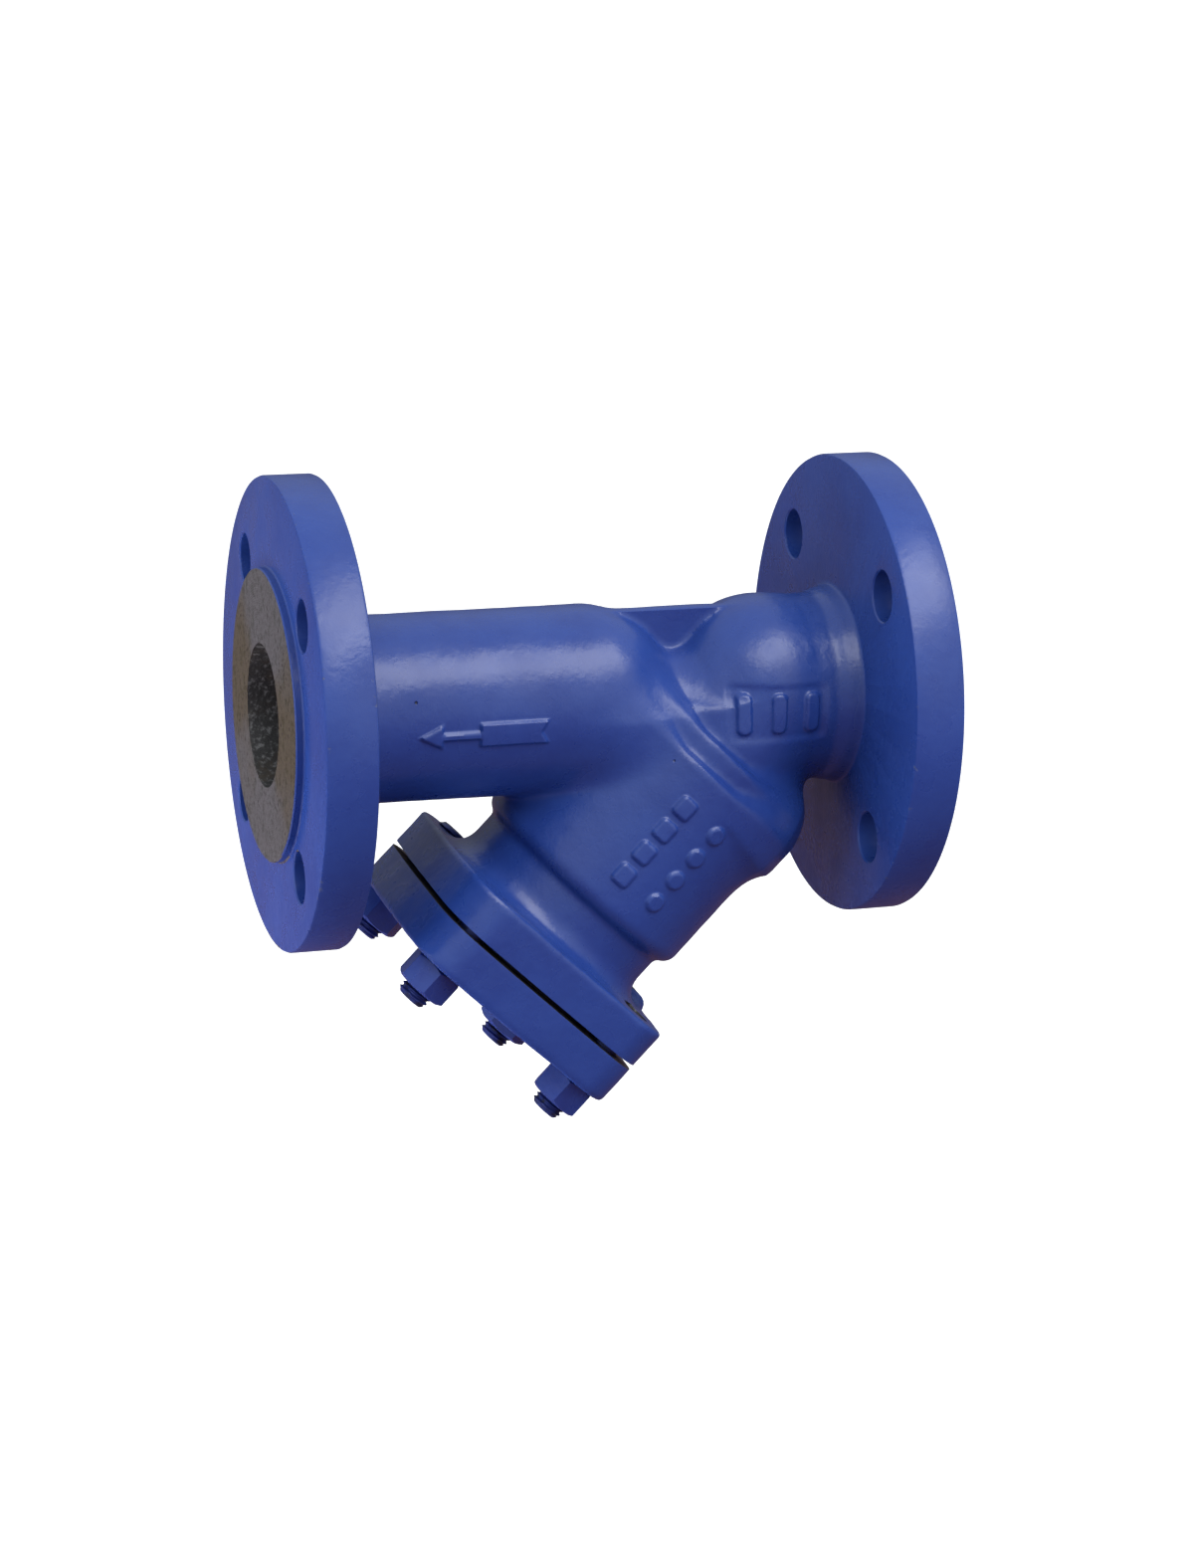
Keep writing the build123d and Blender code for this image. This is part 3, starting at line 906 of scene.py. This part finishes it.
def joint_face():
    """Milled steel-grey joint face with old gasket stain."""
    material, tree, shader = new_material("joint_face")
    place = object_place(tree)
    stain = between(tree, noise_at(tree, place, 60.0, 4.0), 0.4, 0.65)
    steel = mix_colour(tree, stain, (0.28, 0.28, 0.28, 1.0), (0.10, 0.09, 0.08, 1.0))
    tree.links.new(steel, shader.inputs["Base Color"])
    tree.links.new(between(tree, stain, 0.0, 1.0, 0.35, 0.6), shader.inputs["Roughness"])
    lines = put(
        tree, "TexWave", {"Vector": place, "Scale": 300.0, "Distortion": 0.8, "Detail": 2.0},
        output=1, wave_type="BANDS", bands_direction="Y",
    )
    tree.links.new(bump(tree, lines, 0.00004, 0.5), shader.inputs["Normal"])
    shader.inputs["Metallic"].default_value = 0.8
    return material


def raw_bore():
    """Unpainted cored iron: dark, coarse and faintly rusty, with brighter flecks."""
    material, tree, shader = new_material("raw_bore")
    place = object_place(tree)
    rust = between(tree, noise_at(tree, place, 90.0, 5.0, 0.65), 0.45, 0.72)
    iron = mix_colour(tree, rust, (0.048, 0.048, 0.050, 1.0), (0.080, 0.064, 0.050, 1.0))
    flecks = between(tree, noise_at(tree, place, 520.0, 4.0, 0.75), 0.5, 0.66)
    iron = mix_colour(tree, calc(tree, "MULTIPLY", flecks, 0.7), iron, (0.26, 0.26, 0.27, 1.0))
    tree.links.new(iron, shader.inputs["Base Color"])
    tree.links.new(between(tree, rust, 0.0, 1.0, 0.55, 0.85), shader.inputs["Roughness"])
    coarse = bump(tree, noise_at(tree, place, 260.0, 5.0, 0.65), 0.0006, 0.8)
    grain = bump(tree, noise_at(tree, place, 900.0, 3.0), 0.0001, 0.6, coarse)
    tree.links.new(grain, shader.inputs["Normal"])
    shader.inputs["Metallic"].default_value = 0.3
    return material


def stud_steel():
    """Blackened stud steel with blue overspray on its crests."""
    material, tree, shader = new_material("stud_steel")
    place = object_place(tree)
    spray = between(tree, noise_at(tree, place, 210.0, 3.0), 0.36, 0.54)
    colour = mix_colour(tree, spray, (0.020, 0.022, 0.040, 1.0), (0.024, 0.040, 0.19, 1.0))
    tree.links.new(colour, shader.inputs["Base Color"])
    tree.links.new(between(tree, spray, 0.0, 1.0, 0.5, 0.32), shader.inputs["Roughness"])
    tree.links.new(bump(tree, noise_at(tree, place, 900.0, 3.0), 0.00006, 0.6), shader.inputs["Normal"])
    shader.inputs["Metallic"].default_value = 0.45
    return material


def graphite():
    """Black graphite sheet with a faint fibre."""
    material, tree, shader = new_material("graphite")
    place = object_place(tree)
    flecks = between(tree, noise_at(tree, place, 800.0, 4.0, 0.7), 0.4, 0.7)
    tree.links.new(
        mix_colour(tree, flecks, (0.010, 0.010, 0.011, 1.0), (0.035, 0.035, 0.037, 1.0)),
        shader.inputs["Base Color"],
    )
    tree.links.new(between(tree, flecks, 0.0, 1.0, 0.55, 0.75), shader.inputs["Roughness"])
    tree.links.new(bump(tree, flecks, 0.00005, 0.6), shader.inputs["Normal"])
    return material


def stainless(name, light, dark, smear):
    """Bright stainless sheet or wire with rolling streaks and finger smears."""
    material, tree, shader = new_material(name)
    place = object_place(tree)
    streaks = noise_at(tree, put(tree, "Mapping", {"Vector": place, "Scale": (1.0, 6.0, 1.0)}), 120.0, 4.0)
    streaks = between(tree, streaks, 0.35, 0.7)
    tree.links.new(mix_colour(tree, streaks, light, dark), shader.inputs["Base Color"])
    marks = between(tree, noise_at(tree, place, 50.0, 3.0), 0.4, 0.7, smear, smear + 0.18)
    tree.links.new(marks, shader.inputs["Roughness"])
    tree.links.new(bump(tree, streaks, 0.00003, 0.5), shader.inputs["Normal"])
    shader.inputs["Metallic"].default_value = 1.0
    return material


def make_materials():
    """All materials by name."""
    royal = (0.018, 0.050, 0.245, 1.0)
    deep = (0.012, 0.033, 0.19, 1.0)
    return {
        "enamel": enamel("enamel", royal, deep, rims=True),
        "cover_enamel": enamel("cover_enamel", royal, deep, rims=False),
        "nut_paint": enamel("nut_paint", (0.015, 0.036, 0.20, 1.0), (0.010, 0.022, 0.14, 1.0), rims=False),
        "machined_face": machined_face(),
        "joint_face": joint_face(),
        "raw_bore": raw_bore(),
        "stud_steel": stud_steel(),
        "graphite": graphite(),
        "sheet": stainless("stainless_sheet", (0.62, 0.61, 0.59, 1.0), (0.48, 0.47, 0.46, 1.0), 0.24),
        "mesh_wire": stainless("stainless_wire", (0.55, 0.54, 0.52, 1.0), (0.38, 0.37, 0.36, 1.0), 0.3),
    }


def dress(node, material):
    """Gives a carried-over CAD node its material."""
    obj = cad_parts[node]
    obj.data.materials.clear()
    obj.data.materials.append(material)


# ---------------------------------------------------------------- stage, light and camera


def make_floor():
    """Plain pale floor below the drawn-out parts. It doesn't light the object from underneath."""
    bm = bmesh.new()
    bmesh.ops.create_grid(bm, x_segments=1, y_segments=1, size=25.0)
    mesh = bpy.data.meshes.new("floor")
    bm.to_mesh(mesh)
    bm.free()
    floor = add_object("floor", mesh)
    floor.location = (0, 0, FLOOR_Z)
    material, tree, shader = new_material("pale_floor")
    shader.inputs["Base Color"].default_value = (0.85, 0.85, 0.85, 1.0)
    shader.inputs["Roughness"].default_value = 0.9
    shader.inputs["Emission Color"].default_value = (1.0, 1.0, 1.0, 1.0)
    shader.inputs["Emission Strength"].default_value = 0.62
    floor.data.materials.append(material)
    floor.visible_diffuse = False
    floor.visible_glossy = False


def make_world():
    """Soft studio: white overhead and behind the camera, dim behind the object, violet from below."""
    world = bpy.data.worlds.new("studio")
    bpy.context.scene.world = world
    world.use_nodes = True
    tree = world.node_tree
    direction = tree.nodes.new("ShaderNodeTexCoord").outputs["Generated"]
    parts = put(tree, "SeparateXYZ", {0: direction}).node
    overhead = between(tree, parts.outputs[2], -0.1, 0.85, 0.15, 0.70)
    in_front = between(tree, parts.outputs[1], -0.9, 0.3, 0.36, 0.0)
    in_front = calc(tree, "MULTIPLY", in_front, between(tree, parts.outputs[2], -0.55, 0.1, 0.15, 1.0))
    light = calc(tree, "ADD", overhead, in_front)
    tree.links.new(light, tree.nodes["Background"].inputs["Strength"])
    raised = between(tree, parts.outputs[2], -0.6, 0.25)
    colour = mix_colour(tree, raised, (1.0, 0.55, 0.88, 1.0), (0.93, 0.98, 1.0, 1.0))
    tree.links.new(colour, tree.nodes["Background"].inputs["Color"])


def make_softbox(name, azimuth, elevation, distance, size, power, mirrored=True):
    """Rectangular light aimed at the middle of the pipe. The gloss shows it only if it is mirrored."""
    a, e = math.radians(azimuth), math.radians(elevation)
    direction = Vector((math.sin(a) * math.cos(e), -math.cos(a) * math.cos(e), math.sin(e)))
    data = bpy.data.lights.new(name, "AREA")
    data.shape = "RECTANGLE"
    data.size, data.size_y = size
    data.energy = power
    lamp = bpy.data.objects.new(name, data)
    bpy.context.scene.collection.objects.link(lamp)
    lamp.location = Vector((0.115, 0, 0)) + direction * distance
    lamp.visible_camera = False
    lamp.visible_glossy = mirrored
    lamp.rotation_mode = "QUATERNION"
    lamp.rotation_quaternion = direction.to_track_quat("Z", "Y")


def make_camera():
    """Camera at the picture's viewing angle: from the outlet side, slightly above."""
    azimuth, elevation, roll = math.radians(-18.009), math.radians(18.239), math.radians(2.059)
    distance, right_shift, up_shift = 1.28677, 0.004492, -0.030875
    back = Vector((
        math.sin(azimuth) * math.cos(elevation),
        -math.cos(azimuth) * math.cos(elevation),
        math.sin(elevation),
    ))
    right = Vector((math.cos(azimuth), math.sin(azimuth), 0))
    up = back.cross(right)
    turned_right = math.cos(roll) * right + math.sin(roll) * up
    turned_up = math.cos(roll) * up - math.sin(roll) * right
    place = Vector((FACE_TO_FACE / 2 * MM, 0, 0)) + back * distance
    place += turned_right * right_shift + turned_up * up_shift
    data = bpy.data.cameras.new("camera")
    data.lens = 83.43
    data.sensor_width = 36.0
    data.sensor_fit = "AUTO"
    data.clip_start, data.clip_end = 0.01, 100.0
    camera = bpy.data.objects.new("camera", data)
    bpy.context.scene.collection.objects.link(camera)
    turn = Matrix((turned_right, turned_up, back)).transposed()
    camera.matrix_world = Matrix.Translation(place) @ turn.to_4x4()
    bpy.context.scene.camera = camera


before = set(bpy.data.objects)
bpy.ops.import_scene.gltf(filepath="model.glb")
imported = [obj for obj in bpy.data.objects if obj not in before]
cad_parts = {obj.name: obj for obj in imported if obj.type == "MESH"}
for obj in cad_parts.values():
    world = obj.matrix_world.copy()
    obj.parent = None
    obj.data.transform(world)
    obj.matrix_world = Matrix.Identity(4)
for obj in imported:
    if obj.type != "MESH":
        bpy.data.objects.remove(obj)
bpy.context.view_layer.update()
materials = make_materials()
make_camera()
make_floor()
make_world()
make_softbox("key", 25, 58, 1.5, (1.7, 0.85), 17)
make_softbox("left_fill", -86, 4, 1.6, (1.0, 1.0), 21, mirrored=False)
make_softbox("low_left_fill", -100, -45, 0.42, (0.25, 0.25), 1.3, mirrored=False)
make_softbox("front_fill", 38, 16, 1.6, (1.8, 1.0), 9, mirrored=False)
make_softbox("table_glow", -140, -18, 0.7, (0.8, 0.7), 0.09)
make_body(materials)
make_cover(materials)
make_fasteners(materials)
make_lining(materials["mesh_wire"])
dress("cover_gasket", materials["graphite"])
for node in ("screen_perforated_tube", "screen_seat_ring", "screen_cover_ring"):
    dress(node, materials["sheet"])
bpy.context.scene.view_settings.view_transform = "Standard"
